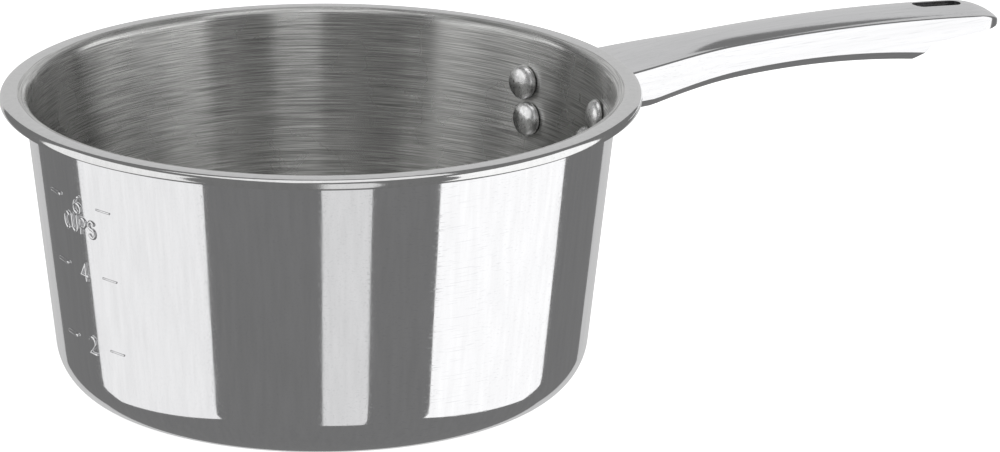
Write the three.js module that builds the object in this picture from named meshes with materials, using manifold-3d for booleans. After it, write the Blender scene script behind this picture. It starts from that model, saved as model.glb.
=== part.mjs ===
// Candle melting pot: a spun steel pouring pan with a rolled lip, carried by a pressed channel handle
// that is welded over a bracket and held to the pot by four solid rivets. Millimetres, +Z up.
// The origin is the middle of the flat base on the surface it stands on; the handle runs along +X.
import * as THREE from "three";
import { mergeVertices } from "three/addons/utils/BufferGeometryUtils.js";
import Module from "manifold-3d";

const wasm = await Module();
wasm.setup();

// Pot
const POT_HEIGHT = 92; // surface to the top of the lip
const LIP_RADIUS = 96; // outermost edge of the lip
const WALL_FOOT_RADIUS = 78.7; // outer wall, carried down to the surface it stands on
const WALL_LEAN = THREE.MathUtils.degToRad(6.37); // outward lean of the wall
const WALL_THICKNESS = 0.9;
const BASE_CORNER_RADIUS = 16; // outside of the bend between base and wall
const LIP_BEND_RADIUS = 4.65; // underside of the outward bend below the lip
const LIP_CURL_RADIUS = 1.9; // outside of the turned-down edge
const LIP_CURL_TURN = THREE.MathUtils.degToRad(30); // how far the edge turns back in below its widest
const LIP_FALL = THREE.MathUtils.degToRad(1); // slope of the flat of the lip towards its edge

// Handle, a pressed channel that is open below
const HANDLE_REACH = 243; // pot axis to the tip
const HANDLE_SHEET = 1.2;
const HANDLE_HALF_WIDTH = 11.2;
const ROOT_HALF_WIDTH = 15.3;
const TAPER_START = 98; // where the wide root starts to narrow, and where it has narrowed
const TAPER_END = 142;
const EDGE_PEAK = 88.4; // height of the long top edges at the top of the arch
const EDGE_PEAK_AT = 162;
const EDGE_ARCH_RADIUS = 720;
const CROWN_RISE = 2.0; // how far the top panel bulges above its edges along the grip
const ROOT_CROWN_RISE = 0.8; // the same at the root
const BEAD_PEAK = 77.4; // height of the rolled lower edges at the top of their arch
const BEAD_PEAK_AT = 158;
const BEAD_ARCH_RADIUS = 320;
const BEAD_ROOT_HEIGHT = 73.6; // the rolled edges run level from here to the pot
const BEAD_RADIUS = 2.8; // the rolled lower edges
const BEAD_LIP = 4.6; // how far each rolled edge turns in under the channel
const EDGE_RADIUS = 0.9; // along the top edges
const NOSE_LENGTH = 12; // rounded end
const NOSE_DROP = 3; // how far the end bends down beyond the arch
const HANG_SLOT_START = 212.8;
const HANG_SLOT_LENGTH = 17.4;
const HANG_SLOT_WIDTH = 5.8;
const CUT_START = [206.5, 73.4]; // the slanted end cut, as distance along and height
const CUT_KNEE = [214, 78.6];
const CUT_END_HEIGHT = 80.5;

// Bracket
const BRACKET_SHEET = 1.5;
const BRACKET_HALF_WIDTH = 27.2; // along its top
const BRACKET_FOOT_HALF_WIDTH = 24;
const BRACKET_BOTTOM = 58.5;
const BRACKET_TOP = 83.2;
const BRACKET_CORNER = 5;
const TONGUE_LENGTH = 29; // how far it reaches out of the plate
const TONGUE_DEPTH = 5.2;
const TONGUE_CLEARANCE = 1.4; // below the channel's top panel where they meet

// Rivets: how far to each side of the handle, and how high
const RIVETS = [
  { name: "rivet_upper_left", side: 22, height: 76.1 },
  { name: "rivet_upper_right", side: -22, height: 76.1 },
  { name: "rivet_lower_left", side: 18.8, height: 65.2 },
  { name: "rivet_lower_right", side: -15.6, height: 65.8 },
];
const RIVET_HEAD_RADIUS = 5.3;
const RIVET_HEAD_RISE = 3.2;
const RIVET_SHANK_RADIUS = 2.5;
const RIVET_TAIL_RADIUS = 4.2;
const RIVET_TAIL_RISE = 1.5;

// Clearances
const WELD_GAP = 0.3; // faces that are welded or riveted together
const SEAT_GAP = 0.4; // flat rivet faces on the curved wall
const HOLE_CLEARANCE = 0.3; // shank to hole, on the radius

const POT_SIDES = 72;
const ROOT_OVERRUN = 3.2; // how far the channel is drawn into the wall that trims it
const TINY = 1e-6;

const steel = (colour, roughness) =>
  new THREE.MeshStandardMaterial({ color: colour, roughness, metalness: 1 });
const POLISHED = steel(0xd4d6d8, 0.12);
const SATIN = steel(0xc2c4c6, 0.28);
const RAW = steel(0xaeb0b2, 0.42);

// ---- solids and meshes ----

function solid(geometry) {
  const bare = geometry.index ? geometry.toNonIndexed() : geometry.clone();
  for (const name of Object.keys(bare.attributes)) if (name !== "position") bare.deleteAttribute(name);
  const merged = mergeVertices(bare, 1e-4);
  return new wasm.Manifold(
    new wasm.Mesh({
      numProp: 3,
      vertProperties: new Float32Array(merged.attributes.position.array),
      triVerts: new Uint32Array(merged.index.array),
    })
  );
}

function mesh(name, body, material) {
  const { vertProperties, triVerts, numProp } = body.getMesh();
  const points = new Float32Array((vertProperties.length / numProp) * 3);
  for (let i = 0; i < points.length / 3; i++)
    for (let k = 0; k < 3; k++) points[3 * i + k] = vertProperties[numProp * i + k];
  const geometry = new THREE.BufferGeometry()
    .setAttribute("position", new THREE.BufferAttribute(points, 3))
    .setIndex(new THREE.BufferAttribute(new Uint32Array(triVerts), 1));
  geometry.computeVertexNormals();
  const made = new THREE.Mesh(geometry, material);
  made.name = name;
  return made;
}

// A body of revolution about +Z from [radius, height] pairs that go up the outside and down the inside.
function turned(profile, sides) {
  const points = profile.map(([r, z]) => new THREE.Vector2(Math.max(r, 0), z));
  return solid(new THREE.LatheGeometry(points, sides).rotateX(Math.PI / 2));
}

// A flat outline of [along, across] pairs in the XY plane, extruded up from z0 to z1.
function extruded(outline, z0, z1) {
  const shape = new THREE.Shape(outline.map(([x, y]) => new THREE.Vector2(x, y)));
  const options = { depth: z1 - z0, bevelEnabled: false, steps: 1 };
  return solid(new THREE.ExtrudeGeometry(shape, options).translate(0, 0, z0));
}

function box(x0, x1, y0, y1, z0, z1) {
  const geometry = new THREE.BoxGeometry(x1 - x0, y1 - y0, z1 - z0);
  return solid(geometry.translate((x0 + x1) / 2, (y0 + y1) / 2, (z0 + z1) / 2));
}

// Points on an arc, from angle a0 to a1 in radians, both ends included.
function arc(x, y, r, a0, a1, steps) {
  return Array.from({ length: steps + 1 }, (_, i) => {
    const a = a0 + ((a1 - a0) * i) / steps;
    return [x + r * Math.cos(a), y + r * Math.sin(a)];
  });
}

// A rounded outline round four corner centres that run anticlockwise from the one up and to the right.
function rounded(centres, r, steps) {
  return centres.flatMap(([x, y], i) => arc(x, y, r, (i * Math.PI) / 2, ((i + 1) * Math.PI) / 2, steps));
}

const smooth = (a, b, x) => THREE.MathUtils.smoothstep(x, a, b);

// ---- pot ----

// Outside radius of the wall at a height.
const wallRadius = (z) => WALL_FOOT_RADIUS + z * Math.tan(WALL_LEAN);

// One face of the sheet from the middle of the base to the turned-down edge, `inset` in from the outside.
function sheetFace(inset) {
  const cornerR = BASE_CORNER_RADIUS;
  // The corner's centre is cornerR above the surface and cornerR in from the leaning wall.
  const cornerX = wallRadius(cornerR) - cornerR / Math.cos(WALL_LEAN);
  const corner = arc(cornerX, cornerR, cornerR - inset, -Math.PI / 2, -WALL_LEAN, 6);
  // The lip's bend is centred outside the wall, and its flat falls gently to the curl.
  const bendR = LIP_BEND_RADIUS + inset;
  const bendZ = POT_HEIGHT - WALL_THICKNESS - LIP_BEND_RADIUS;
  const bendX = wallRadius(bendZ) + LIP_BEND_RADIUS / Math.cos(WALL_LEAN);
  const bend = arc(bendX, bendZ, bendR, Math.PI - WALL_LEAN, Math.PI / 2 - LIP_FALL, 5);
  const curlX = LIP_RADIUS - LIP_CURL_RADIUS;
  const flat = (curlX - bendX) * Math.tan(LIP_FALL);
  const curlZ = POT_HEIGHT - LIP_CURL_RADIUS - flat;
  const curlR = LIP_CURL_RADIUS - WALL_THICKNESS + inset;
  const curl = arc(curlX, curlZ, curlR, Math.PI / 2 - LIP_FALL, -LIP_CURL_TURN, 5);
  const wall = [0.35, 0.7].map((t) => {
    const z = cornerR + t * (bendZ - cornerR);
    return [wallRadius(z) - inset / Math.cos(WALL_LEAN), z];
  });
  const middle = [0.5].map((t) => [t * cornerX, inset]);
  return [[0, inset], ...middle, ...corner, ...wall, ...bend, ...curl];
}

function potBody() {
  const outside = sheetFace(0);
  const inside = sheetFace(WALL_THICKNESS);
  let body = turned([...outside, ...inside.reverse()], POT_SIDES);
  for (const place of rivetPlaces())
    body = body.subtract(onWall(rivetHole(), place));
  return body;
}

// A body that fills the pot and reaches `outset` beyond its wall, used to cut what meets the wall.
function wallCutter(outset) {
  const top = EDGE_PEAK + 10;
  const foot = wallRadius(0) + outset / Math.cos(WALL_LEAN);
  const head = wallRadius(top) + outset / Math.cos(WALL_LEAN);
  return turned([[0, 0], [foot, 0], [head, top], [0, top]], POT_SIDES);
}

// ---- handle ----

const halfWidth = (x) =>
  THREE.MathUtils.lerp(ROOT_HALF_WIDTH, HANDLE_HALF_WIDTH, smooth(TAPER_START, TAPER_END, x));

const edgeHeight = (x) => EDGE_PEAK - (x - EDGE_PEAK_AT) ** 2 / (2 * EDGE_ARCH_RADIUS);

const beadHeight = (x) =>
  x > BEAD_PEAK_AT
    ? BEAD_PEAK - (x - BEAD_PEAK_AT) ** 2 / (2 * BEAD_ARCH_RADIUS)
    : Math.max(BEAD_PEAK - (x - BEAD_PEAK_AT) ** 2 / (2 * BEAD_ARCH_RADIUS), BEAD_ROOT_HEIGHT);

// How much of its full size the section keeps at x, falling to nothing round the nose.
function nose(x, reach) {
  const t = THREE.MathUtils.clamp((x - (reach - NOSE_LENGTH)) / NOSE_LENGTH, 0, 1);
  return Math.max(Math.sqrt(1 - t * t), 0.12);
}

// The channel's section at x as [across, up] pairs, `inset` in from the outside, closed underneath.
function section(x, inset) {
  const round = nose(x, HANDLE_REACH - inset);
  const half = (halfWidth(x) - inset) * round;
  const ahead = Math.max(0, (x + inset - HANDLE_REACH + NOSE_LENGTH) / NOSE_LENGTH);
  const top = edgeHeight(x) - inset - NOSE_DROP * ahead ** 2;
  const bottom = beadHeight(x) + inset;
  const edge = Math.max(EDGE_RADIUS - inset, 0.3) * Math.min(1, half / HANDLE_HALF_WIDTH);
  const bead = Math.max(BEAD_RADIUS - inset, 0.5) * Math.min(1, half / HANDLE_HALF_WIDTH);
  const fullRise = THREE.MathUtils.lerp(ROOT_CROWN_RISE, CROWN_RISE, smooth(TAPER_START, TAPER_END, x));
  const rise = fullRise * Math.min(1, half / HANDLE_HALF_WIDTH);
  const crown = [-0.75, -0.45, -0.15].map((t) => [t * (half - edge), top + rise * (1 - t * t)]);
  const left = [
    ...arc(-(half - bead), bottom + bead, bead, -Math.PI / 2, -Math.PI, 4),
    ...arc(-(half - edge), top - edge, edge, Math.PI, 0.58 * Math.PI, 3),
    ...crown,
  ];
  const right = left.map(([y, z]) => [-y, z]).reverse();
  return [...left, ...right];
}

// A solid channel swept along X through its sections.
function swept(x0, inset) {
  const reach = HANDLE_REACH - inset;
  const body = 16;
  const round = 7;
  const stations = [
    ...Array.from({ length: body + 1 }, (_, i) => x0 + ((reach - NOSE_LENGTH - x0) * i) / body),
    ...Array.from({ length: round + 1 }, (_, i) =>
      reach - NOSE_LENGTH * (1 - Math.sin(((i / round) * Math.PI) / 2))).slice(1),
  ];
  const rings = stations.map((x) => section(x, inset).map(([y, z]) => new THREE.Vector3(x, y, z)));
  return solid(skin(rings));
}

// A closed surface through rings of equal length, each end capped by a fan from its middle.
function skin(rings) {
  const count = rings[0].length;
  const middle = (ring) => ring.reduce((sum, p) => sum.add(p), new THREE.Vector3()).divideScalar(count);
  const points = [...rings.flat(), middle(rings[0]), middle(rings.at(-1))];
  const far = (rings.length - 1) * count;
  const faces = [];
  for (let j = 0; j < count; j++) {
    const next = (j + 1) % count;
    for (let at = 0; at < far; at += count) {
      faces.push(at + j, at + count + next, at + next, at + j, at + count + j, at + count + next);
    }
    faces.push(points.length - 2, j, next, points.length - 1, far + next, far + j);
  }
  const geometry = new THREE.BufferGeometry().setFromPoints(points);
  geometry.setIndex(faces);
  return geometry;
}

function handleShell() {
  const start = wallRadius(BRACKET_BOTTOM) - ROOT_OVERRUN;
  const outer = swept(start, 0);
  const inner = swept(start - 5, HANDLE_SHEET);
  const mouthHalf = (x) => halfWidth(x) * nose(x, HANDLE_REACH) - BEAD_LIP;
  const stations = Array.from({ length: 13 }, (_, i) => start - 5 + (HANDLE_REACH - start) * (i / 12));
  const mouth = extruded(
    [...stations.map((x) => [x, -Math.max(mouthHalf(x), 1)]),
      ...stations.map((x) => [x, Math.max(mouthHalf(x), 1)]).reverse()],
    BEAD_ROOT_HEIGHT - 20, BEAD_PEAK + 3);
  const slotEnd = HANG_SLOT_WIDTH / 2;
  const slotFrom = HANG_SLOT_START + slotEnd;
  const slotTo = HANG_SLOT_START + HANG_SLOT_LENGTH - slotEnd;
  const slot = extruded(
    rounded([[slotTo, TINY], [slotFrom, TINY], [slotFrom, -TINY], [slotTo, -TINY]], slotEnd, 6),
    BEAD_PEAK, POT_HEIGHT + 10);
  return outer
    .subtract(inner)
    .subtract(mouth)
    .subtract(slot)
    .subtract(endCutter())
    .subtract(wallCutter(BRACKET_SHEET + 2 * WELD_GAP));
}

// What the slanted cut takes off under the end of the handle.
function endCutter() {
  const far = HANDLE_REACH + 20;
  const outline = [[CUT_START[0] - 6, CUT_START[1] - 20], CUT_START, CUT_KNEE, [HANDLE_REACH, CUT_END_HEIGHT],
    [far, CUT_END_HEIGHT], [far, CUT_START[1] - 20]];
  const geometry = new THREE.ExtrudeGeometry(
    new THREE.Shape(outline.map(([x, z]) => new THREE.Vector2(x, z)).reverse()),
    { depth: 4 * ROOT_HALF_WIDTH, bevelEnabled: false, steps: 1 });
  return solid(geometry.rotateX(Math.PI / 2).translate(0, 2 * ROOT_HALF_WIDTH, 0));
}

// ---- bracket ----

function bracket() {
  const plate = wallCutter(WELD_GAP + BRACKET_SHEET).subtract(wallCutter(WELD_GAP));
  const [head, foot] = [BRACKET_HALF_WIDTH, BRACKET_FOOT_HALF_WIDTH].map((half) => half - BRACKET_CORNER);
  const [top, bottom] = [BRACKET_TOP - BRACKET_CORNER, BRACKET_BOTTOM + BRACKET_CORNER];
  const outline = rounded([[head, top], [-head, top], [-foot, bottom], [foot, bottom]], BRACKET_CORNER, 4);
  const reach = LIP_RADIUS + 10;
  const face = solid(
    new THREE.ExtrudeGeometry(new THREE.Shape(outline.map(([y, z]) => new THREE.Vector2(y, z))),
      { depth: reach, bevelEnabled: false, steps: 1 })
      .applyMatrix4(new THREE.Matrix4().makeBasis(
        new THREE.Vector3(0, 1, 0), new THREE.Vector3(0, 0, 1), new THREE.Vector3(1, 0, 0))));
  let body = plate.intersect(face).add(tongue());
  for (const place of rivetPlaces())
    body = body.subtract(onWall(rivetHole(), place));
  return body;
}

// The channel that reaches from the plate into the handle.
function tongue() {
  const half = HANDLE_HALF_WIDTH - HANDLE_SHEET - WELD_GAP;
  const root = wallRadius(BRACKET_TOP);
  const top = edgeHeight(root) - HANDLE_SHEET - WELD_GAP - TONGUE_CLEARANCE;
  const start = wallRadius(BRACKET_BOTTOM);
  const end = root + TONGUE_LENGTH;
  return box(start, end, -half, half, top - TONGUE_DEPTH, top)
    .subtract(box(start - 1, end + 1, -half + BRACKET_SHEET, half - BRACKET_SHEET,
      top - TONGUE_DEPTH - 1, top - BRACKET_SHEET))
    .subtract(wallCutter(WELD_GAP + BRACKET_SHEET / 2));
}

// ---- rivets ----

// Every rivet's name, its direction round the pot and its height.
function rivetPlaces() {
  return RIVETS.map(({ name, side, height }) => ({
    name,
    turn: Math.asin(side / wallRadius(height)),
    height,
  }));
}

// Stands a body made along +Z on the wall: its origin on the outer face, its +Z out of the pot.
function onWall(body, { turn, height }) {
  const out = new THREE.Vector3(Math.cos(WALL_LEAN), 0, -Math.sin(WALL_LEAN));
  const up = new THREE.Vector3(Math.sin(WALL_LEAN), 0, Math.cos(WALL_LEAN));
  const placed = new THREE.Matrix4()
    .makeRotationZ(turn)
    .multiply(new THREE.Matrix4().makeTranslation(wallRadius(height), 0, height))
    .multiply(new THREE.Matrix4().makeBasis(up.clone().cross(out).negate(), up, out));
  return body.transform(placed.elements);
}

const rivetHole = () =>
  turned(bar(RIVET_SHANK_RADIUS + HOLE_CLEARANCE, -10, 10), 20);

const bar = (r, z0, z1) => [[0, z0], [r, z0], [r, z1], [0, z1]];

// A domed head inside the pot, a shank through the wall and the plate, and an upset tail outside.
function rivet() {
  const seat = -WALL_THICKNESS - SEAT_GAP;
  const foot = WELD_GAP + BRACKET_SHEET + SEAT_GAP;
  const rim = 0.5;
  const dome = arc(0, 0, 1, 0, Math.PI / 2, 5).map(([c, s]) => [
    RIVET_HEAD_RADIUS * c, seat - rim - (RIVET_HEAD_RISE - rim) * s]);
  const tail = arc(0, 0, 1, 0, Math.PI / 2, 4).map(([c, s]) => [
    RIVET_TAIL_RADIUS * c, foot + RIVET_TAIL_RISE * (0.35 + 0.65 * s)]);
  return turned([...dome.reverse(), [RIVET_HEAD_RADIUS, seat], [RIVET_SHANK_RADIUS, seat],
    [RIVET_SHANK_RADIUS, foot], [RIVET_TAIL_RADIUS, foot], ...tail], 24);
}

// ---- assembly ----

const group = new THREE.Group();
group.name = "candle_melting_pot";
group.add(mesh("pot_body", potBody(), POLISHED));
group.add(mesh("handle_shell", handleShell(), POLISHED));
group.add(mesh("handle_bracket", bracket(), RAW));
for (const place of rivetPlaces()) group.add(mesh(place.name, onWall(rivet(), place), SATIN));

export default group;
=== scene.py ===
"""Looks of the candle melting pot: a spun steel pan with a rolled lip and a riveted channel handle.

Shapes are worked out in millimetres, in the part's own frame (+Z up, handle along +X, origin in the
middle of the base), and turned into metres when each mesh is made.
"""

import math
import random

import bpy
import numpy as np
from mathutils import Matrix, Vector


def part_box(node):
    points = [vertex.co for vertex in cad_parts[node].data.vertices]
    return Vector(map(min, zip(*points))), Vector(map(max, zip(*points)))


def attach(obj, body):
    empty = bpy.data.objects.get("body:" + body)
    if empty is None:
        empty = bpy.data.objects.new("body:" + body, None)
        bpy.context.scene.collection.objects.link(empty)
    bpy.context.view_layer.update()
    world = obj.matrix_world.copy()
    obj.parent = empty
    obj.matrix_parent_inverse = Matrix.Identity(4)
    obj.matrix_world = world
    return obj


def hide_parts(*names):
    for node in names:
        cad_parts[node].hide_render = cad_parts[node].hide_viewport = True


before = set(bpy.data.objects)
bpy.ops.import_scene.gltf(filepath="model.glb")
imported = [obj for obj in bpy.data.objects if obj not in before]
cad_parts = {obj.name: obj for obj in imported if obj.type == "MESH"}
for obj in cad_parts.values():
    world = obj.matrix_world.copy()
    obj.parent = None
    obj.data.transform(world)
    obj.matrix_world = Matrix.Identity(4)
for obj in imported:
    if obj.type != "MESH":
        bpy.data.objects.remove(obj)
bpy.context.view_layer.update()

MM = 0.001
random.seed(7)

# ---- sizes of the part, in millimetres ----

POT_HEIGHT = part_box("pot_body")[1][2] / MM
LIP_RADIUS = 96.0
WALL_FOOT_RADIUS = 78.7
WALL_LEAN = math.radians(6.37)
WALL_THICKNESS = 0.9
BASE_CORNER_RADIUS = 16.0
LIP_CROWN_RADIUS = 14.0
LIP_INNER_TILT = math.radians(10)
LIP_OUTER_TILT = math.radians(8)
LIP_CURL_RADIUS = 1.9
LIP_CURL_TURN = math.radians(30)
GRAIN_TILT = math.radians(6)

HANDLE_REACH = 243.0
HANDLE_SHEET = 1.2
HANDLE_HALF_WIDTH = 11.2
ROOT_HALF_WIDTH = 15.3
TAPER_START = 98.0
TAPER_END = 142.0
EDGE_PEAK = 88.4
EDGE_PEAK_AT = 162.0
EDGE_ARCH_RADIUS = 720.0
EDGE_RADIUS = 0.9
CROWN_RISE = 2.0
ROOT_CROWN_RISE = 0.8
BEAD_PEAK = 77.4
BEAD_PEAK_AT = 158.0
BEAD_ARCH_RADIUS = 320.0
BEAD_ROOT_HEIGHT = 73.6
BEAD_LIP = 4.6
NOSE_LENGTH = 12.0
NOSE_DROP = 3.0
HANG_SLOT_START = 212.8
HANG_SLOT_LENGTH = 17.4
HANG_SLOT_WIDTH = 5.8
CUT_START = (206.5, 73.4)
CUT_KNEE = (214.0, 78.6)
CUT_END_HEIGHT = 80.5

BRACKET_SHEET = 1.5
BRACKET_HALF_WIDTH = 27.2
BRACKET_FOOT_HALF_WIDTH = 24.0
BRACKET_BOTTOM = 58.5
BRACKET_TOP = 83.2
BRACKET_CORNER = 5.0
TONGUE_LENGTH = 27.0
TONGUE_DEPTH = 5.2

RIVETS = {
    "upper_left": (22.0, 76.1),
    "upper_right": (-22.0, 76.1),
    "lower_left": (18.8, 65.2),
    "lower_right": (-15.6, 65.8),
}
RIVET_HEAD_RADIUS = 5.3
RIVET_HEAD_RISE = 3.2
RIVET_SHANK_RADIUS = 2.5
RIVET_TAIL_RADIUS = 4.2
RIVET_TAIL_RISE = 1.5

WELD_GAP = 0.3
SEAT_GAP = 0.4

# Volume marks pressed into the wall on the side away from the handle.
MARKS_TURN = math.radians(185.7)
TICK_TURN = math.radians(8.3)
TICK_LENGTH = 5.8
MARK_ROWS = (("6", 70.6, 71.5), ("4", 49.6, 50.0), ("2", 26.4, 27.0))
UNIT_WORD = "CUPS"
UNIT_HEIGHT = 64.4
DIGIT_SIZE = (3.9, 5.2)
LETTER_SIZE = (3.2, 5.0)
LETTER_PITCH = 4.3
STROKE_HALF = 0.58
STROKE_RISE = 0.55
FAINT_TICK = 0.6

# The camera: a long lens, a little above the lip.
CAMERA_DISTANCE = 20 * LIP_RADIUS
CAMERA_ROUND = math.radians(28.7)
CAMERA_ABOVE = math.radians(18.252)
CAMERA_REFERENCE = 0.2 * LIP_RADIUS
AIM_ROUND = math.radians(30.384)
AIM_DOWN = math.radians(17.419)
CAMERA_ROLL = math.radians(0.247)
CAMERA_LENS = 228.6
CAMERA_SENSOR = 36.0


# ---- node helpers ----

class Nodes:
    """Short calls for building a node tree."""

    def __init__(self, tree):
        self.tree = tree
        self.tree.nodes.clear()

    def add(self, kind, inputs=None, **settings):
        node = self.tree.nodes.new(kind)
        for key, value in settings.items():
            setattr(node, key, value)
        for key, value in (inputs or {}).items():
            self.put(node.inputs[key], value)
        return node

    def put(self, socket, value):
        if isinstance(value, bpy.types.NodeSocket):
            self.tree.links.new(value, socket)
        else:
            socket.default_value = value

    def math(self, operation, *values, clamp=False):
        node = self.add("ShaderNodeMath", operation=operation, use_clamp=clamp)
        for socket, value in zip(node.inputs, values):
            self.put(socket, value)
        return node.outputs[0]

    def vector(self, operation, *values, output=0):
        node = self.add("ShaderNodeVectorMath", operation=operation)
        for socket, value in zip(node.inputs, values):
            self.put(socket, value)
        return node.outputs[output]

    def noise(self, at, scale, detail=2.0, roughness=0.5, dimensions="3D"):
        node = self.add("ShaderNodeTexNoise", {"Scale": scale, "Detail": detail, "Roughness": roughness},
                        noise_dimensions=dimensions)
        self.put(node.inputs["Vector"], at)
        return node.outputs["Fac"]

    def span(self, value, low, high, to_low=0.0, to_high=1.0, kind="LINEAR"):
        node = self.add("ShaderNodeMapRange", {"Value": value, "From Min": low, "From Max": high,
                                               "To Min": to_low, "To Max": to_high},
                        interpolation_type=kind)
        return node.outputs["Result"]

    def mix(self, factor, a, b):
        node = self.add("ShaderNodeMix", data_type="RGBA")
        self.put(node.inputs["Factor"], factor)
        self.put(node.inputs["A"], a)
        self.put(node.inputs["B"], b)
        return node.outputs["Result"]

    def bump(self, height, strength, distance, normal=None):
        node = self.add("ShaderNodeBump", {"Height": height, "Strength": strength, "Distance": distance})
        if normal is not None:
            self.put(node.inputs["Normal"], normal)
        return node.outputs["Normal"]


def new_material(name):
    material = bpy.data.materials.new(name)
    material.use_nodes = True
    nodes = Nodes(material.node_tree)
    shader = nodes.add("ShaderNodeBsdfPrincipled", {"Metallic": 1.0})
    output = nodes.add("ShaderNodeOutputMaterial")
    nodes.put(output.inputs["Surface"], shader.outputs["BSDF"])
    return material, nodes, shader


def scratches(nodes, position, directions, spacing, length):
    """Fine straight scratches at each direction, as a height from 0 to 1."""
    total = None
    for tilt, turn in directions:
        mapping = nodes.add("ShaderNodeMapping", {"Vector": position, "Rotation": (tilt, turn, 0.7 * turn),
                                                  "Scale": (1 / length, 1 / spacing, 1 / spacing)})
        lines = nodes.noise(mapping.outputs["Vector"], 1.0, 1.0)
        lines = nodes.span(lines, 0.66, 0.74)
        total = lines if total is None else nodes.math("MAXIMUM", total, lines)
    return total


def grain_vector(nodes, position, streaks_round, spacing):
    """A place on a turned surface, stretched round the axis: noise on it makes fine rings."""
    flat = nodes.vector("MULTIPLY", position, (1, 1, 0))
    unit = nodes.vector("NORMALIZE", flat)
    radius = nodes.vector("LENGTH", flat, output=1)
    split = nodes.add("ShaderNodeSeparateXYZ", {"Vector": position})
    along = nodes.math("ADD", radius, split.outputs["Z"])
    round_it = nodes.vector("SCALE", unit)
    nodes.put(round_it.node.inputs["Scale"], streaks_round)
    lift = nodes.add("ShaderNodeCombineXYZ", {"Z": nodes.math("DIVIDE", along, spacing)})
    return nodes.vector("ADD", round_it, lift.outputs["Vector"])


# ---- materials ----

def polished_steel(name, roughness, colour, waviness, buffing):
    """Buffed steel: near-mirror, with hairline scratches, a faint buffing grain and a gentle waviness."""
    material, nodes, shader = new_material(name)
    position = nodes.add("ShaderNodeNewGeometry").outputs["Position"]
    marks = scratches(nodes, position, ((0.5, 0.9), (-0.7, 0.3), (1.1, -0.8)), 0.35 * MM, 14 * MM)
    cloud = nodes.noise(position, 60.0, 3.0)
    along = nodes.vector("MULTIPLY", position, buffing)
    grain = nodes.noise(along, 1.0, 2.0)
    wave = nodes.noise(position, 22.0, 1.0)
    brushed = nodes.vector("SCALE", colour)
    nodes.put(brushed.node.inputs["Scale"], nodes.span(grain, 0.3, 0.7, 0.965, 1.03))
    tint = nodes.mix(nodes.math("MULTIPLY", marks, 0.22), brushed, (0.5, 0.51, 0.53, 1))
    nodes.put(shader.inputs["Base Color"], tint)
    rough = nodes.math("ADD", nodes.span(cloud, 0.3, 0.7, roughness * 0.8, roughness * 1.3),
                       nodes.math("MULTIPLY", marks, 0.05))
    nodes.put(shader.inputs["Roughness"], rough)
    height = nodes.math("ADD", nodes.math("MULTIPLY", grain, 0.003), nodes.math("MULTIPLY", wave, waviness))
    height = nodes.math("SUBTRACT", height, nodes.math("MULTIPLY", marks, 0.0015))
    nodes.put(shader.inputs["Normal"], nodes.bump(height, 1.0, 1.0 * MM))
    return material


def turned_steel(name, roughness, colour):
    """The inside of the pot: fine turned rings that smear reflections up and down."""
    material, nodes, shader = new_material(name)
    position = nodes.add("ShaderNodeNewGeometry").outputs["Position"]
    fine = nodes.noise(grain_vector(nodes, position, 5.0, 0.27 * MM), 1.0, 2.0, 0.6)
    coarse = nodes.noise(grain_vector(nodes, position, 2.2, 1.0 * MM), 1.0, 2.0)
    cloud = nodes.noise(position, 45.0, 3.0)
    shade = nodes.math("ADD", nodes.span(fine, 0.34, 0.66, 0.6, 1.4), nodes.span(coarse, 0.3, 0.7, -0.05, 0.05))
    tint = nodes.vector("SCALE", colour)
    nodes.put(tint.node.inputs["Scale"], shade)
    nodes.put(shader.inputs["Base Color"], tint)
    nodes.put(shader.inputs["Roughness"], nodes.span(cloud, 0.3, 0.7, roughness * 0.92, roughness * 1.08))
    shader.inputs["Anisotropic"].default_value = 1.0
    shader.inputs["Anisotropic Rotation"].default_value = 0.25
    tangent = nodes.add("ShaderNodeTangent", direction_type="RADIAL", axis="Z")
    nodes.put(shader.inputs["Tangent"], tangent.outputs["Tangent"])
    height = nodes.math("ADD", nodes.math("MULTIPLY", fine, 0.012), nodes.math("MULTIPLY", coarse, 0.02))
    nodes.put(shader.inputs["Normal"], nodes.bump(height, 1.0, 1.0 * MM))
    return material


def satin_steel(name, colour):
    """Tumbled rivets: satin, with small dents and mottling."""
    material, nodes, shader = new_material(name)
    position = nodes.add("ShaderNodeNewGeometry").outputs["Position"]
    pits = nodes.noise(position, 1100.0, 3.0, 0.6)
    mottle = nodes.noise(position, 420.0, 3.0)
    tint = nodes.vector("SCALE", colour)
    nodes.put(tint.node.inputs["Scale"], nodes.span(mottle, 0.3, 0.7, 0.86, 1.08))
    nodes.put(shader.inputs["Base Color"], tint)
    nodes.put(shader.inputs["Roughness"], nodes.span(pits, 0.3, 0.7, 0.22, 0.4))
    height = nodes.math("ADD", nodes.math("MULTIPLY", pits, 0.05), nodes.math("MULTIPLY", mottle, 0.14))
    nodes.put(shader.inputs["Normal"], nodes.bump(height, 1.0, 1.0 * MM))
    return material


def raw_steel(name, colour):
    """Hidden faces: rolled sheet as it was pressed, dull, with a rolling grain and heat tint; a dark colour given
    to it paints shade.
    """
    material, nodes, shader = new_material(name)
    position = nodes.add("ShaderNodeNewGeometry").outputs["Position"]
    stretched = nodes.vector("MULTIPLY", position, (1.0, 0.12, 1.0))
    grain = nodes.noise(stretched, 1500.0, 3.0, 0.6)
    stain = nodes.noise(position, 90.0, 4.0)
    tinted = nodes.mix(nodes.span(stain, 0.45, 0.75), (*colour, 1), tuple(0.75 * c * t for c, t in zip(colour, (1.0, 0.92, 0.84))) + (1,))
    nodes.put(shader.inputs["Base Color"], tinted)
    nodes.put(shader.inputs["Roughness"], nodes.span(grain, 0.3, 0.7, 0.36, 0.5))
    nodes.put(shader.inputs["Normal"], nodes.bump(nodes.math("MULTIPLY", grain, 0.05), 1.0, 1.0 * MM))
    return material


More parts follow.
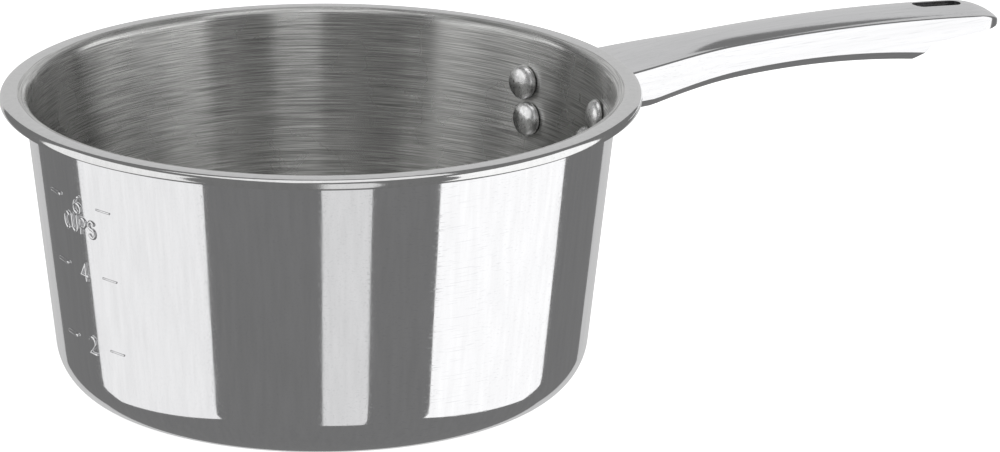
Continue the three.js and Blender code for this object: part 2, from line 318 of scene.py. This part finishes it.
# Buffing lines: how many grain cells there are to a metre along each axis.
UPRIGHT = (500, 500, 12)
LENGTHWISE = (15, 700, 700)
WALL_STEEL = polished_steel("wall_steel", 0.05, (0.80, 0.80, 0.81), 0.06, UPRIGHT)
LIP_STEEL = polished_steel("lip_steel", 0.09, (0.78, 0.78, 0.78), 0.03, UPRIGHT)
HANDLE_STEEL = polished_steel("handle_steel", 0.09, (0.82, 0.82, 0.83), 0.03, LENGTHWISE)
INSIDE_STEEL = turned_steel("inside_steel", 0.27, (0.64, 0.64, 0.63))
RIVET_STEEL = satin_steel("rivet_steel", (0.92, 0.92, 0.92))
BRACKET_STEEL = raw_steel("bracket_steel", (0.60, 0.60, 0.61))
# The channel's inside face and its cut edges: the same raw sheet as the bracket at a far darker colour, painted
# shade where the channel is hidden from the light.
HANDLE_INSIDE_PAINTED_SHADE = raw_steel("handle_inside_painted_shade", (0.10, 0.10, 0.105))


# ---- mesh helpers ----

def make_object(name, points, faces, materials, slots=None, sharp=40.0):
    """A smooth-shaded mesh object from points in millimetres; edges over `sharp` degrees stay crisp."""
    mesh = bpy.data.meshes.new(name)
    mesh.from_pydata([tuple(MM * c for c in p) for p in points], [], [tuple(int(i) for i in f) for f in faces])
    for material in materials:
        mesh.materials.append(material)
    if slots is not None:
        mesh.polygons.foreach_set("material_index", slots)
    mesh.validate()
    mesh.shade_smooth()
    mesh.set_sharp_from_angle(angle=math.radians(sharp))
    made = bpy.data.objects.new(name, mesh)
    bpy.context.scene.collection.objects.link(made)
    return made


def arc(x, y, r, a0, a1, steps):
    """Points on an arc from angle a0 to a1, both ends included."""
    return [(x + r * math.cos(a), y + r * math.sin(a)) for a in np.linspace(a0, a1, steps + 1)]


def line(start, end, steps):
    """Points between two ends, both left out."""
    return [tuple(np.add(start, np.subtract(end, start) * (i / steps))) for i in range(1, steps)]


def turned(profile, sides):
    """A body of revolution about +Z from (radius, height) points that start and end on the axis."""
    rings = profile[1:-1]
    angles = np.linspace(0, 2 * math.pi, sides, endpoint=False)
    points = [(r * math.cos(a), r * math.sin(a), z) for r, z in rings for a in angles]
    faces = []
    for i in range(len(rings) - 1):
        for j in range(sides):
            k = (j + 1) % sides
            faces.append((i * sides + j, i * sides + k, (i + 1) * sides + k, (i + 1) * sides + j))
    first, last = len(points), len(points) + 1
    points += [(0, 0, profile[0][1]), (0, 0, profile[-1][1])]
    far = (len(rings) - 1) * sides
    faces += [(first, (j + 1) % sides, j) for j in range(sides)]
    faces += [(last, far + j, far + (j + 1) % sides) for j in range(sides)]
    return points, faces


def joined(*bodies):
    """Several (points, faces) as one, with the number of faces of each."""
    points, faces, counts = [], [], []
    for body_points, body_faces in bodies:
        start = len(points)
        points += list(body_points)
        faces += [tuple(start + i for i in f) for f in body_faces]
        counts.append(len(body_faces))
    return points, faces, counts


def cut(body, cutters):
    """Takes the cutters' shapes out of a mesh object for good."""
    for cutter in cutters:
        modifier = body.modifiers.new("cut", "BOOLEAN")
        modifier.operation = "DIFFERENCE"
        modifier.solver = "EXACT"
        modifier.object = cutter
    graph = bpy.context.evaluated_depsgraph_get()
    mesh = bpy.data.meshes.new_from_object(body.evaluated_get(graph))
    body.modifiers.clear()
    body.data = mesh
    for cutter in cutters:
        bpy.data.objects.remove(cutter)


def crease(body, angle=32.0):
    body.data.shade_smooth()
    body.data.set_sharp_from_angle(angle=math.radians(angle))


def soften_edges(body, width, angle=35.0, segments=2):
    """Rounds a piece's cut edges a little."""
    modifier = body.modifiers.new("soften", "BEVEL")
    modifier.width = width * MM
    modifier.segments = segments
    modifier.limit_method = "ANGLE"
    modifier.angle_limit = math.radians(angle)
    modifier.harden_normals = False
    graph = bpy.context.evaluated_depsgraph_get()
    mesh = bpy.data.meshes.new_from_object(body.evaluated_get(graph))
    body.modifiers.clear()
    body.data = mesh


def finish_piece(piece, node):
    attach(piece, "root")
    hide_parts(node)


# ---- pot ----

def wall_radius(z):
    return WALL_FOOT_RADIUS + z * math.tan(WALL_LEAN)


def lip_circles():
    """The three arcs of the lip's top face, as (centre, radius): bend, crown and curl."""
    crown_r = LIP_CROWN_RADIUS
    crown_z = POT_HEIGHT - crown_r
    crown_x = LIP_RADIUS - LIP_CURL_RADIUS - (crown_r - LIP_CURL_RADIUS) * math.sin(LIP_OUTER_TILT)
    # The bend touches both the crown and the inside of the wall.
    sine, cosine = math.sin(LIP_INNER_TILT), math.cos(LIP_INNER_TILT)
    inside = wall_radius(crown_z + crown_r * cosine) - WALL_THICKNESS / math.cos(WALL_LEAN)
    room = crown_x - crown_r * sine - inside
    bend_r = room * math.cos(WALL_LEAN) / (1 - sine * math.cos(WALL_LEAN) - cosine * math.sin(WALL_LEAN))
    bend = (crown_x - (crown_r - bend_r) * sine, crown_z + (crown_r - bend_r) * cosine)
    curl_r = LIP_CURL_RADIUS
    curl = (crown_x + (crown_r - curl_r) * math.sin(LIP_OUTER_TILT),
            crown_z + (crown_r - curl_r) * math.cos(LIP_OUTER_TILT))
    return (bend, bend_r), ((crown_x, crown_z), crown_r), (curl, curl_r)


def sheet_face(inset):
    """One face of the pot's sheet, base to lip edge, as named stretches of (radius, height)."""
    corner_r = BASE_CORNER_RADIUS
    corner_x = wall_radius(corner_r) - corner_r / math.cos(WALL_LEAN)
    corner = arc(corner_x, corner_r, corner_r - inset, -math.pi / 2, -WALL_LEAN, 24)
    bend, crown, curl = lip_circles()
    under = inset - WALL_THICKNESS
    top = math.pi / 2
    lip = (arc(*crown[0], crown[1] + under, top + GRAIN_TILT, top - LIP_OUTER_TILT, 12)
           + arc(*curl[0], curl[1] + under, top - LIP_OUTER_TILT, -LIP_CURL_TURN, 14)[1:])
    turn_out = (arc(*bend[0], bend[1] + under, math.pi - WALL_LEAN, top + LIP_INNER_TILT, 14)
                + arc(*crown[0], crown[1] + under, top + LIP_INNER_TILT, top + GRAIN_TILT, 4)[1:])
    base = [(0, inset)] + line((0, inset), corner[0], 10)
    wall = line(corner[-1], turn_out[0], 26)
    return base, corner + wall + turn_out[:-1], lip


def bow(x, y, across, up, a0, a1, steps):
    """Points on an upright ellipse from angle a0 to a1 in degrees."""
    return [(x + across * math.cos(math.radians(a)), y + up * math.sin(math.radians(a)))
            for a in np.linspace(a0, a1, steps + 1)]


def glyph_strokes(character):
    """The strokes of a digit or letter in a box one unit high and one unit wide."""
    shapes = {
        "6": [bow(0.95, 0.28, 0.91, 0.74, 100, 180, 8) + bow(0.5, 0.28, 0.46, 0.28, 180, 540, 20)[1:]],
        "4": [[(0.72, 0.0), (0.72, 0.98)], [(0.70, 0.98), (0.02, 0.3), (0.98, 0.3)]],
        "2": [bow(0.5, 0.7, 0.42, 0.29, 160, -35, 12) + [(0.04, 0.0), (0.98, 0.0)]],
        "C": [bow(0.55, 0.5, 0.5, 0.5, 50, 310, 16)],
        "U": [[(0.06, 1.0), (0.06, 0.36)] + bow(0.5, 0.36, 0.44, 0.36, 180, 360, 12)[1:] + [(0.94, 1.0)]],
        "P": [[(0.1, 0.0), (0.1, 0.98), (0.5, 0.98)] + bow(0.5, 0.73, 0.4, 0.25, 90, -90, 8)[1:]
              + [(0.1, 0.48)]],
        "S": [bow(0.5, 0.75, 0.42, 0.24, 30, 270, 10) + bow(0.5, 0.25, 0.42, 0.26, 90, -150, 10)[1:]],
        "-": [[(0.0, 0.5), (1.0, 0.5)]],
    }
    return shapes[character]


def stroke_on_wall(path, turn, height, weight):
    """A raised rounded stroke along (across, up) points in millimetres round a place on the outer wall."""
    half, rise = STROKE_HALF * weight, STROKE_RISE * weight
    path = np.array(path, float)
    steps = np.diff(path, axis=0)
    steps /= np.linalg.norm(steps, axis=1)[:, None]
    along = np.vstack([steps[:1], (steps[:-1] + steps[1:]) / 2, steps[-1:]])
    along /= np.linalg.norm(along, axis=1)[:, None]
    rounding = [(half * s, max(math.sqrt(1 - s * s), 0.08)) for s in (1.0, 0.8, 0.45)]
    rings = [(path[0] - along[0] * out, along[0], scale) for out, scale in rounding]
    rings += [(p, a, 1.0) for p, a in zip(path, along)]
    rings += [(path[-1] + along[-1] * out, along[-1], scale) for out, scale in reversed(rounding)]
    section = [(math.cos(a), math.sin(a)) for a in np.linspace(math.pi, 0, 9)] + [(0.9, -0.8), (-0.9, -0.8)]
    points, faces = [], []
    for centre, direction, scale in rings:
        side = np.array([-direction[1], direction[0]])
        for across, up in section:
            u, v = centre + side * (-across * half * scale)
            z = height + v
            out = rise * up * (scale if up > 0 else 1)
            radius = wall_radius(z) + out / math.cos(WALL_LEAN)
            at = turn + u / wall_radius(z)
            points.append((radius * math.cos(at), radius * math.sin(at), z))
    count = len(section)
    for i in range(len(rings) - 1):
        for j in range(count):
            k = (j + 1) % count
            faces.append((i * count + j, (i + 1) * count + j, (i + 1) * count + k, i * count + k))
    last = (len(rings) - 1) * count
    faces.append(tuple(range(count)))
    faces.append(tuple(last + j for j in reversed(range(count))))
    return points, faces


def mark(character, size, turn, height, weight=1.0):
    """One digit, letter or tick centred at a place on the wall; `weight` scales its strokes."""
    width, tall = size
    return [stroke_on_wall([((x - 0.5) * width, (y - 0.5) * tall) for x, y in stroke], turn, height, weight)
            for stroke in glyph_strokes(character)]


def volume_marks():
    strokes = []
    for digit, digit_height, tick_height in MARK_ROWS:
        strokes += mark(digit, DIGIT_SIZE, MARKS_TURN, digit_height)
        for side, weight in ((-1, 1.1), (1, FAINT_TICK)):
            strokes += mark("-", (TICK_LENGTH, 1.0), MARKS_TURN + side * TICK_TURN, tick_height, weight)
    for i, letter in enumerate(UNIT_WORD):
        across = (i - (len(UNIT_WORD) - 1) / 2) * LETTER_PITCH
        turn = MARKS_TURN + across / wall_radius(UNIT_HEIGHT)
        strokes += mark(letter, LETTER_SIZE, turn, UNIT_HEIGHT)
    return strokes


def build_pot():
    sides = 320
    outer = sheet_face(0)
    inner = sheet_face(WALL_THICKNESS)
    outside = outer[0] + outer[1]
    lip = outer[2] + inner[2][::-1]
    inside = inner[1][::-1] + inner[0][::-1]
    body = turned(outside + lip + inside, sides)
    points, faces, counts = joined(body, *volume_marks())
    # Rings of faces run from the base's middle to the inside's middle; the last two fans are the middles.
    outer_rings = len(outside) - 2
    lip_rings = len(lip) + 1
    base_rings = len(outer[0]) - 1
    slots = np.zeros(len(faces), int)
    slots[: base_rings * sides] = 2
    slots[outer_rings * sides: (outer_rings + lip_rings) * sides] = 1
    slots[(outer_rings + lip_rings) * sides: counts[0]] = 2
    return make_object("pot", points, faces, [WALL_STEEL, LIP_STEEL, INSIDE_STEEL], slots)


# ---- handle ----

def smooth(a, b, x):
    t = min(max((x - a) / (b - a), 0.0), 1.0)
    return t * t * (3 - 2 * t)


def half_width(x):
    return ROOT_HALF_WIDTH + (HANDLE_HALF_WIDTH - ROOT_HALF_WIDTH) * smooth(TAPER_START, TAPER_END, x)


def edge_height(x):
    return EDGE_PEAK - (x - EDGE_PEAK_AT) ** 2 / (2 * EDGE_ARCH_RADIUS)


def bead_height(x):
    arch = BEAD_PEAK - (x - BEAD_PEAK_AT) ** 2 / (2 * BEAD_ARCH_RADIUS)
    return arch if x > BEAD_PEAK_AT else max(arch, BEAD_ROOT_HEIGHT)


def rounded_path(corners, radii, steps):
    """A path through corners, each one rounded to its radius; the ends stay sharp."""
    path = [np.array(corners[0], float)]
    for before, corner, after, radius in zip(corners, corners[1:], corners[2:], radii):
        corner = np.array(corner, float)
        to_before = np.array(before) - corner
        to_after = np.array(after) - corner
        to_before /= np.linalg.norm(to_before)
        to_after /= np.linalg.norm(to_after)
        angle = math.acos(np.clip(to_before @ to_after, -1, 1))
        reach = radius / math.tan(angle / 2)
        middle = (to_before + to_after) / np.linalg.norm(to_before + to_after)
        centre = corner + middle * radius / math.sin(angle / 2)
        start = corner + to_before * reach - centre
        end = corner + to_after * reach - centre
        for t in np.linspace(0, 1, steps + 1):
            turn = start * math.sin((1 - t) * (math.pi - angle)) + end * math.sin(t * (math.pi - angle))
            path.append(centre + turn / math.sin(math.pi - angle))
    path.append(np.array(corners[-1], float))
    return path


# The rolled lower edge, as (in from the widest point, up from the bottom).
HEM_FOOT = (2.7, 0.0)
HEM_NOSE = (0.0, 2.9)
HEM_NECK = (0.32, 4.9)


def handle_section(x, round_off):
    """Half of the channel's sheet face at x, from the hem's free edge up to the middle of the top."""
    half = half_width(x) * round_off
    ahead = max(0.0, (x - HANDLE_REACH + NOSE_LENGTH) / NOSE_LENGTH)
    top = edge_height(x) - NOSE_DROP * ahead ** 2
    bottom = bead_height(x)

    def at(hem):
        return (half - hem[0] * round_off, bottom + hem[1])

    return [(half - BEAD_LIP * round_off, bottom), at(HEM_FOOT), at(HEM_NOSE), at(HEM_NECK),
            (half - HEM_NECK[0] * round_off, top), (0.0, top)]


def offset_corners(corners, distance):
    """Moves an open path of straight stretches sideways, to its left."""
    corners = [np.array(c, float) for c in corners]
    normals = []
    for a, b in zip(corners, corners[1:]):
        d = (b - a) / max(np.linalg.norm(b - a), 1e-9)
        normals.append(np.array([-d[1], d[0]]))
    moved = [corners[0] + normals[0] * distance]
    for c, n0, n1 in zip(corners[1:-1], normals, normals[1:]):
        middle = n0 + n1
        moved.append(c + middle * distance / max(1 + n0 @ n1, 0.3))
    moved.append(corners[-1] + normals[-1] * distance)
    return moved


def sheet_path(x, round_off, inset):
    """The channel's whole section on one face of its sheet, right hem to left hem, as (across, up)."""
    corners = handle_section(x, round_off)
    shrink = max(round_off, 0.02)
    moved = offset_corners(corners, inset) if inset else corners
    radii = [r * shrink for r in (
        (1.3, 0.9, 1.4, EDGE_RADIUS) if not inset else (0.3, 0.25, 2.4, 0.5))]
    half = rounded_path(moved, radii, 5)
    rise = (ROOT_CROWN_RISE + (CROWN_RISE - ROOT_CROWN_RISE) * smooth(TAPER_START, TAPER_END, x)) * shrink
    crown_from = half[-2]
    crown = [np.array([crown_from[0] * (1 - t), 0]) for t in np.linspace(0.1, 1, 9)]
    for c in crown:
        share = c[0] / max(crown_from[0], 1e-6)
        c[1] = moved[-1][1] + rise * (1 - share * share)
    half = half[:-1] + crown
    return half + [np.array([-y, z]) for y, z in reversed(half[:-1])]


def handle_body():
    """The channel's sheet as one closed ring of points swept from the root to the tip."""
    root = LIP_RADIUS - 14
    stations = []
    for x in np.linspace(root, HANDLE_REACH - NOSE_LENGTH, 64):
        stations.append((x, x, 1.0))
    for turn in np.linspace(0, math.pi / 2, 17)[1:]:
        ahead = NOSE_LENGTH * math.sin(turn)
        start = HANDLE_REACH - NOSE_LENGTH
        round_off = max(math.cos(turn), 0.02)
        stations.append((start + ahead, start + ahead * (1 - HANDLE_SHEET / NOSE_LENGTH), round_off))
    points = []
    for outer_x, inner_x, round_off in stations:
        outer = sheet_path(outer_x, round_off, 0)
        inner = sheet_path(inner_x, round_off, HANDLE_SHEET * max(min(1.0, round_off * 3), 0.05))
        points += [(outer_x, y, z) for y, z in outer]
        points += [(inner_x, y, z) for y, z in reversed(inner)]
    count = len(points) // len(stations)
    faces = []
    for i in range(len(stations) - 1):
        for j in range(count):
            k = (j + 1) % count
            faces.append((i * count + j, i * count + k, (i + 1) * count + k, (i + 1) * count + j))
    far = (len(stations) - 1) * count
    half = count // 2
    # Slot 1, the sheet's inside face, takes the dark steel of painted shade.
    slots = [0 if j < half - 1 else 1 for _ in range(len(stations) - 1) for j in range(count)]
    for start, flip in ((0, True), (far, False)):
        for j in range(half - 1):
            quad = (start + j, start + j + 1, start + count - 2 - j, start + count - 1 - j)
            faces.append(quad if flip else tuple(reversed(quad)))
    slots += [0] * (len(faces) - len(slots))
    return points, faces, slots


def cone_cutter(outset):
    """What fills the pot and reaches `outset` beyond its wall."""
    reach = outset / math.cos(WALL_LEAN)
    top = POT_HEIGHT + 12
    profile = [(0, -5), (wall_radius(-5) + reach, -5), (wall_radius(top) + reach, top), (0, top)]
    points, faces = turned(profile, 240)
    return make_object("cutter", points, faces, [HANDLE_STEEL])


def prism(outline, low, high, axis):
    """A straight prism of a flat outline: `axis` z stands it up, y lays it across the handle."""
    count = len(outline)
    if axis == "z":
        points = [(x, y, h) for h in (low, high) for x, y in outline]
    else:
        points = [(x, h, z) for h in (low, high) for x, z in outline]
    faces = [tuple(reversed(range(count))), tuple(range(count, 2 * count))]
    faces += [(j, (j + 1) % count, count + (j + 1) % count, count + j) for j in range(count)]
    # The cutter's faces carry the dark painted-shade steel onto the faces they cut.
    made = make_object("cutter", points, faces, [HANDLE_STEEL, HANDLE_INSIDE_PAINTED_SHADE], [1] * len(faces))
    orient(made)
    return made


def orient(body):
    """Turns a closed mesh's faces outward."""
    import bmesh
    work = bmesh.new()
    work.from_mesh(body.data)
    bmesh.ops.remove_doubles(work, verts=work.verts, dist=1e-7)
    bmesh.ops.recalc_face_normals(work, faces=work.faces)
    work.to_mesh(body.data)
    work.free()


def build_handle():
    points, faces, slots = handle_body()
    # The channel's inside face is painted dark as shade.
    handle = make_object("handle", points, faces, [HANDLE_STEEL, HANDLE_INSIDE_PAINTED_SHADE], slots)
    orient(handle)
    end = HANG_SLOT_WIDTH / 2
    near, far = HANG_SLOT_START + end, HANG_SLOT_START + HANG_SLOT_LENGTH - end
    slot = arc(far, 0, end, -math.pi / 2, math.pi / 2, 16) + arc(near, 0, end, math.pi / 2, 1.5 * math.pi, 16)
    beyond = HANDLE_REACH + 20
    knee = rounded_path([(CUT_START[0] - 8.7, CUT_START[1] - 6), CUT_START, CUT_KNEE,
                         (beyond, CUT_END_HEIGHT + 1.3)], (2.0, 5.0), 6)
    under = [tuple(p) for p in knee] + [(beyond, CUT_START[1] - 20), (CUT_START[0] - 8.7, CUT_START[1] - 20)]
    cut(handle, [prism(slot, EDGE_PEAK - 9, EDGE_PEAK + 9, "z"), prism(under, -40, 40, "y"),
                 cone_cutter(BRACKET_SHEET + 2 * WELD_GAP)])
    soften_edges(handle, 0.22)
    crease(handle)
    return handle


# ---- bracket ----

def plate_outline(inset, steps=8):
    """The bracket plate's rounded outline, as (across, up), drawn in by `inset`."""
    r = BRACKET_CORNER
    head, foot = BRACKET_HALF_WIDTH - r, BRACKET_FOOT_HALF_WIDTH - r
    top, bottom = BRACKET_TOP - r, BRACKET_BOTTOM + r
    centres = [(head, top), (-head, top), (-foot, bottom), (foot, bottom)]
    outline = []
    for i, (x, y) in enumerate(centres):
        outline += arc(x, y, r - inset, i * math.pi / 2, (i + 1) * math.pi / 2, steps)
    path = []
    for a, b in zip(outline, outline[1:] + outline[:1]):
        pieces = max(1, int(math.dist(a, b) / 2.0))
        path += [a] + line(a, b, pieces)
    return path


def bracket_plate():
    """The plate as rings of points that lie on the wall: back face, rounded edge, front face."""
    edge = 0.35
    near, far = WELD_GAP, WELD_GAP + BRACKET_SHEET
    layers = [(edge, near), (edge * 0.3, near + edge * 0.3), (0, near + edge),
              (0, far - edge), (edge * 0.3, far - edge * 0.3), (edge, far)]
    base = plate_outline(0)
    middle = np.array([0.0, (BRACKET_TOP + BRACKET_BOTTOM) / 2])

    def place(y, z, outset):
        radius = wall_radius(z) + outset / math.cos(WALL_LEAN)
        return (math.sqrt(radius * radius - y * y), y, z)

    shares = (0.85, 0.65, 0.45, 0.25)
    points = []

    def ring(share, inset, outset):
        for p in base:
            p = np.array(p)
            inward = middle - p
            inward /= np.linalg.norm(inward)
            q = middle + (p + inward * inset - middle) * share
            points.append(place(q[0], q[1], outset))

    for share in reversed(shares):
        ring(share, edge, near)
    for inset, outset in layers:
        ring(1.0, inset, outset)
    for share in shares:
        ring(share, edge, far)
    count = len(base)
    total = len(points) // count
    faces = []
    for i in range(total - 1):
        for j in range(count):
            k = (j + 1) % count
            faces.append((i * count + j, i * count + k, (i + 1) * count + k, (i + 1) * count + j))
    first, last = len(points), len(points) + 1
    points.append(place(*middle, near))
    points.append(place(*middle, far))
    faces += [(first, (j + 1) % count, j) for j in range(count)]
    far_ring = (total - 1) * count
    faces += [(last, far_ring + j, far_ring + (j + 1) % count) for j in range(count)]
    return points, faces


def bracket_tongue():
    """The pressed channel that reaches from the plate into the handle."""
    half = HANDLE_HALF_WIDTH - HANDLE_SHEET - WELD_GAP - 0.4
    top = edge_height(LIP_RADIUS) - HANDLE_SHEET - WELD_GAP - 2.2
    bottom = top - TONGUE_DEPTH
    corners = [(half, bottom), (half, top), (-half, top), (-half, bottom)]
    outer = rounded_path(corners, (1.8, 1.8), 6)
    inner = rounded_path([tuple(p) for p in offset_corners(corners, BRACKET_SHEET)], (0.5, 0.5), 6)
    ring = [tuple(p) for p in outer] + [tuple(p) for p in reversed(inner)]
    start = wall_radius(bottom) + WELD_GAP + BRACKET_SHEET / 2
    end = LIP_RADIUS - 6 + TONGUE_LENGTH
    count = len(ring)
    points = [(x, y, z) for x in (start, end) for y, z in ring]
    faces = [(j, (j + 1) % count, count + (j + 1) % count, count + j) for j in range(count)]
    half_count = count // 2
    for base in (0, count):
        faces += [(base + j, base + j + 1, base + count - 2 - j, base + count - 1 - j)
                  for j in range(half_count - 1)]
    return points, faces


def build_bracket():
    tongue_points, tongue_faces = bracket_tongue()
    points, faces, _ = joined(bracket_plate(), (tongue_points, tongue_faces))
    bracket = make_object("bracket", points, faces, [BRACKET_STEEL])
    orient(bracket)
    crease(bracket)
    return bracket


# ---- rivets ----

def on_wall(turn, height):
    """The place on the outer wall that has +Z pointing out of the pot."""
    out = Vector((math.cos(WALL_LEAN), 0, -math.sin(WALL_LEAN)))
    up = Vector((math.sin(WALL_LEAN), 0, math.cos(WALL_LEAN)))
    side = out.cross(up)
    axes = Matrix((side, up, out)).transposed().to_4x4()
    return Matrix.Rotation(turn, 4, "Z") @ Matrix.Translation((wall_radius(height), 0, height)) @ axes


def build_rivet(name, turn, height):
    """A solid rivet: domed head inside the pot, shank, and an upset tail outside, all a little uneven."""
    seat = -WALL_THICKNESS - SEAT_GAP
    foot = WELD_GAP + BRACKET_SHEET + SEAT_GAP
    rim = 0.55
    dome = [(RIVET_HEAD_RADIUS * c, seat - rim - (RIVET_HEAD_RISE - rim) * s)
            for c, s in arc(0, 0, 1, math.pi / 2, 0, 22)]
    rim_round = arc(RIVET_HEAD_RADIUS - 0.25, seat - 0.25, 0.25, 0, math.pi / 2, 3)[1:]
    tail = [(RIVET_TAIL_RADIUS * c, foot + RIVET_TAIL_RISE * (0.35 + 0.65 * s))
            for c, s in arc(0, 0, 1, 0, math.pi / 2, 12)]
    profile = (dome + rim_round + [(RIVET_SHANK_RADIUS, seat), (RIVET_SHANK_RADIUS, foot),
                                   (RIVET_TAIL_RADIUS, foot)] + tail)
    profile[0] = (0.0, profile[0][1])
    profile[-1] = (0.0, profile[-1][1])
    points, faces = turned(profile, 64)
    dents = [(Vector((random.uniform(-0.6, 0.6), random.uniform(-0.6, 0.6), -1)).normalized(),
              random.uniform(0.93, 0.985)) for _ in range(9)]
    placed = on_wall(turn, height)
    middle = Vector((0, 0, seat))
    shaped = []
    for p in points:
        v = Vector(p)
        if v.z < seat - 0.1:
            offset = v - middle
            unit = Vector((offset.x / RIVET_HEAD_RADIUS, offset.y / RIVET_HEAD_RADIUS, offset.z / RIVET_HEAD_RISE))
            for direction, depth in dents:
                over = unit.dot(direction) - depth
                if over > 0:
                    unit -= direction * over * 0.5
            v = middle + Vector((unit.x * RIVET_HEAD_RADIUS, unit.y * RIVET_HEAD_RADIUS, unit.z * RIVET_HEAD_RISE))
        shaped.append(tuple(placed @ v))
    return make_object(name, shaped, faces, [RIVET_STEEL], sharp=50.0)


# ---- the object ----

pot = build_pot()
orient(pot)
crease(pot, 50.0)
finish_piece(pot, "pot_body")

handle = build_handle()
finish_piece(handle, "handle_shell")

bracket = build_bracket()
finish_piece(bracket, "handle_bracket")

for place, (side, height) in RIVETS.items():
    rivet = build_rivet(f"rivet_head_{place}", math.asin(side / wall_radius(height)), height)
    orient(rivet)
    crease(rivet, 50.0)
    finish_piece(rivet, f"rivet_{place}")


# ---- studio ----

# A grey room with upright soft boxes: degrees to the camera's right of the camera, width and brightness.
ROOM = (0.2, 0.2, 0.2, 1)
SOFT_BOXES = {
    "soft_box_left": (-80.0, 2500.0, 1.0),
    "soft_box_front": (10.0, 700.0, 0.8),
    "soft_box_right": (80.0, 2500.0, 1.2),
    "soft_box_back": (180.0, 2500.0, 0.6),
}
BOX_DISTANCE = 2000.0
BOX_HALF_HEIGHT = 1800.0
TOP_BOX_SIZE = 2000.0
TOP_BOX_HEIGHT = 2500.0
TOP_BOX_BRIGHTNESS = 1.0


def build_world():
    """The grey room; the camera itself sees a plain white backdrop."""
    world = bpy.data.worlds.new("studio")
    bpy.context.scene.world = world
    world.use_nodes = True
    nodes = Nodes(world.node_tree)
    seen = nodes.add("ShaderNodeLightPath").outputs["Is Camera Ray"]
    colour = nodes.mix(seen, ROOM, (1, 1, 1, 1))
    background = nodes.add("ShaderNodeBackground", {"Color": colour, "Strength": 1.0})
    output = nodes.add("ShaderNodeOutputWorld")
    nodes.put(output.inputs["Surface"], background.outputs["Background"])


def build_floor():
    """A plain pale floor, a hair below the base so that the two faces stay apart."""
    material = bpy.data.materials.new("floor_white")
    material.use_nodes = True
    nodes = Nodes(material.node_tree)
    shader = nodes.add("ShaderNodeBsdfPrincipled", {
        "Base Color": (0.9, 0.9, 0.9, 1), "Roughness": 0.9,
        "Emission Color": (1, 1, 1, 1), "Emission Strength": 0.9})
    output = nodes.add("ShaderNodeOutputMaterial")
    nodes.put(output.inputs["Surface"], shader.outputs["BSDF"])
    reach = 30000
    level = -0.05
    points = [(-reach, -reach, level), (reach, -reach, level), (reach, reach, level), (-reach, reach, level)]
    floor = make_object("floor", points, [(0, 1, 2, 3)], [material])
    floor.visible_glossy = False


def build_soft_box(name, corners, brightness):
    """A glowing panel that lights the object and shows in its reflections, but not to the camera."""
    material, nodes, shader = new_material(name)
    nodes.put(shader.inputs["Metallic"], 0.0)
    nodes.put(shader.inputs["Base Color"], (0, 0, 0, 1))
    nodes.put(shader.inputs["Emission Color"], (1, 1, 1, 1))
    nodes.put(shader.inputs["Emission Strength"], brightness)
    box = make_object(name, corners, [(0, 1, 2, 3)], [material])
    box.visible_camera = False


def build_soft_boxes():
    """The upright boxes reach below the floor, which the steel doesn't mirror; one more hangs overhead."""
    for name, (turn, width, brightness) in SOFT_BOXES.items():
        angle = CAMERA_ROUND - math.radians(turn)
        away = np.array((-math.sin(angle), -math.cos(angle), 0))
        aside = np.array((math.cos(angle), -math.sin(angle), 0)) * width / 2
        up = np.array((0, 0, BOX_HALF_HEIGHT))
        middle = away * BOX_DISTANCE
        build_soft_box(name, [middle + a * aside + h * up for a, h in ((-1, -1), (1, -1), (1, 1), (-1, 1))],
                       brightness)
    half = TOP_BOX_SIZE / 2
    build_soft_box("soft_box_top", [(x, y, TOP_BOX_HEIGHT) for x, y in
                                    ((-half, -half), (half, -half), (half, half), (-half, half))],
                   TOP_BOX_BRIGHTNESS)


def build_camera():
    data = bpy.data.cameras.new("camera")
    data.lens = CAMERA_LENS
    data.sensor_width = CAMERA_SENSOR
    data.clip_start = 0.05
    data.clip_end = 200
    camera = bpy.data.objects.new("camera", data)
    flat = math.cos(CAMERA_ABOVE)
    place = Vector((-math.sin(CAMERA_ROUND) * flat, -math.cos(CAMERA_ROUND) * flat, math.sin(CAMERA_ABOVE)))
    camera.location = (place * CAMERA_DISTANCE + Vector((0, 0, CAMERA_REFERENCE))) * MM
    forward = Vector((math.sin(AIM_ROUND) * math.cos(AIM_DOWN), math.cos(AIM_ROUND) * math.cos(AIM_DOWN),
                      -math.sin(AIM_DOWN)))
    right = forward.cross(Vector((0, 0, 1))).normalized()
    up = right.cross(forward)
    tilted_right = right * math.cos(CAMERA_ROLL) + up * math.sin(CAMERA_ROLL)
    tilted_up = up * math.cos(CAMERA_ROLL) - right * math.sin(CAMERA_ROLL)
    camera.rotation_euler = Matrix((tilted_right, tilted_up, -forward)).transposed().to_euler()
    bpy.context.scene.collection.objects.link(camera)
    bpy.context.scene.camera = camera


build_world()
build_floor()
build_soft_boxes()
build_camera()
bpy.context.scene.view_settings.view_transform = "Standard"
